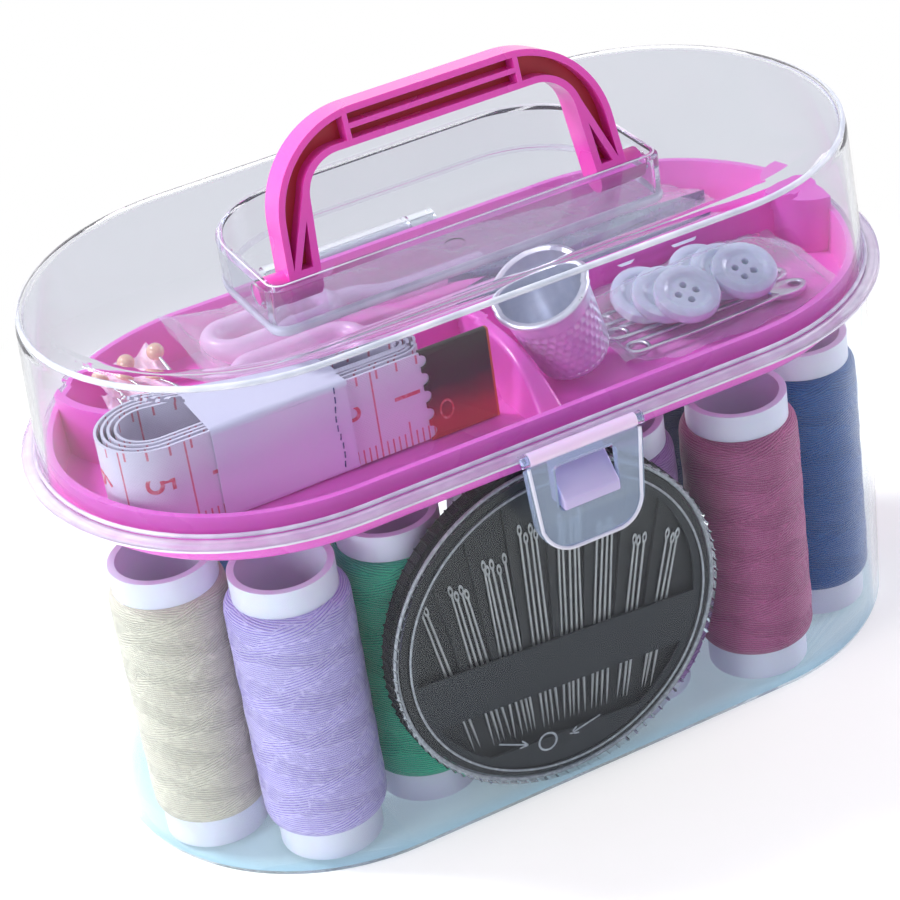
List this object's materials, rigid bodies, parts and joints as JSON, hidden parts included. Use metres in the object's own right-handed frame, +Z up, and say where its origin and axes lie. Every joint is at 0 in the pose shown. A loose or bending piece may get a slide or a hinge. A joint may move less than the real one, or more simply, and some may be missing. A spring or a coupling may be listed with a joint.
{
  "type": "sewing box",
  "caption": "Clear oblong sewing box with a hinged lid, snap latch, folding handle and lift-out tray, filled with thread spools, a round needle case and small notions.",
  "frame": {"origin": "centre of the base's flat face, which the box stands on", "axes": "+X along the box, +Z up, the latch faces -Y"},
  "size_m": [0.125, 0.0727, 0.0959],
  "materials": {
    "tub": "clear",
    "lid": "clear",
    "latch": "frosted",
    "lid_hinge_pin": "satin",
    "handle": "gloss",
    "tray": "gloss",
    "needle_case_base": "satin",
    "needle_card": "matt",
    "needles": "polished",
    "needle_case_cover": "clear",
    "tape_measure": "smooth",
    "tape_tip": "gloss",
    "tape_band": "paper",
    "thimble": "dimpled",
    "buttons": "pearl",
    "button_bag": "film",
    "safety_pins": "polished",
    "scissor_blade_left": "satin",
    "scissor_blade_right": "satin",
    "scissor_grip_left": "gloss",
    "scissor_grip_right": "gloss",
    "scissor_rivet": "satin",
    "scissors_sleeve": "film",
    "pearl_pins": "pearl",
    "thread_card": "paper",
    "spool_tube": "satin",
    "thread_beige": "wound thread",
    "thread_lavender": "wound thread",
    "thread_green": "wound thread",
    "thread_white": "wound thread",
    "thread_mauve": "wound thread",
    "thread_rose": "wound thread",
    "thread_blue": "wound thread",
    "thread_sky": "wound thread",
    "thread_yellow": "wound thread",
    "thread_navy": "wound thread"
  },
  "bodies": {
    "tub": {"tub": "tub", "lid_hinge_pin": "lid_hinge_pin", "needle_case_base": "needle_case_base", "needle_card": "needle_card", "needles": "needles", "spool_tube_beige": "spool_tube", "thread_beige": "thread_beige", "spool_tube_lavender": "spool_tube", "thread_lavender": "thread_lavender", "spool_tube_green": "spool_tube", "thread_green": "thread_green", "spool_tube_white": "spool_tube", "thread_white": "thread_white", "spool_tube_mauve": "spool_tube", "thread_mauve": "thread_mauve", "spool_tube_rose": "spool_tube", "thread_rose": "thread_rose", "spool_tube_blue": "spool_tube", "thread_blue": "thread_blue", "spool_tube_sky": "spool_tube", "thread_sky": "thread_sky", "spool_tube_yellow": "spool_tube", "thread_yellow": "thread_yellow", "spool_tube_navy": "spool_tube", "thread_navy": "thread_navy"},
    "lid": {"lid": "lid"},
    "latch": {"latch": "latch"},
    "handle": {"handle": "handle"},
    "tray": {"tray": "tray", "tape_measure": "tape_measure", "tape_tip": "tape_tip", "tape_band": "tape_band", "thimble": "thimble", "buttons": "buttons", "button_bag": "button_bag", "safety_pins": "safety_pins", "scissor_blade_left": "scissor_blade_left", "scissor_blade_right": "scissor_blade_right", "scissor_grip_left": "scissor_grip_left", "scissor_grip_right": "scissor_grip_right", "scissor_rivet": "scissor_rivet", "scissors_sleeve": "scissors_sleeve", "pearl_pins": "pearl_pins", "thread_card": "thread_card"},
    "needle_cover": {"needle_case_cover": "needle_case_cover"}
  },
  "joints": [
    {"name": "lid_hinge", "type": "hinge", "parent": "tub", "child": "lid", "pos_m": [0, 0.0354, 0.0552], "axis": [-1, 0, 0], "range_deg": [0, 110]},
    {"name": "latch_hinge", "type": "hinge", "parent": "lid", "child": "latch", "pos_m": [0, -0.03385, 0.056], "axis": [-1, 0, 0], "range_deg": [0, 110]},
    {"name": "handle_hinge", "type": "hinge", "parent": "lid", "child": "handle", "pos_m": [0, -0.0046, 0.07515], "axis": [-1, 0, 0], "range_deg": [-12, 78]},
    {"name": "tray_lift", "type": "slide", "parent": "tub", "child": "tray", "axis": [0, 0, 1], "range_m": [0, 0.045]},
    {"name": "needle_cover_turn", "type": "hinge", "parent": "tub", "child": "needle_cover", "pos_m": [-0.0041, -0.0289, 0.0259], "axis": [0, -1, 0], "continuous": true}
  ],
  "couplings": [
    {"joint": "tray_lift", "follows": "lid_hinge", "m_per_rad": 0.0234}
  ]
}
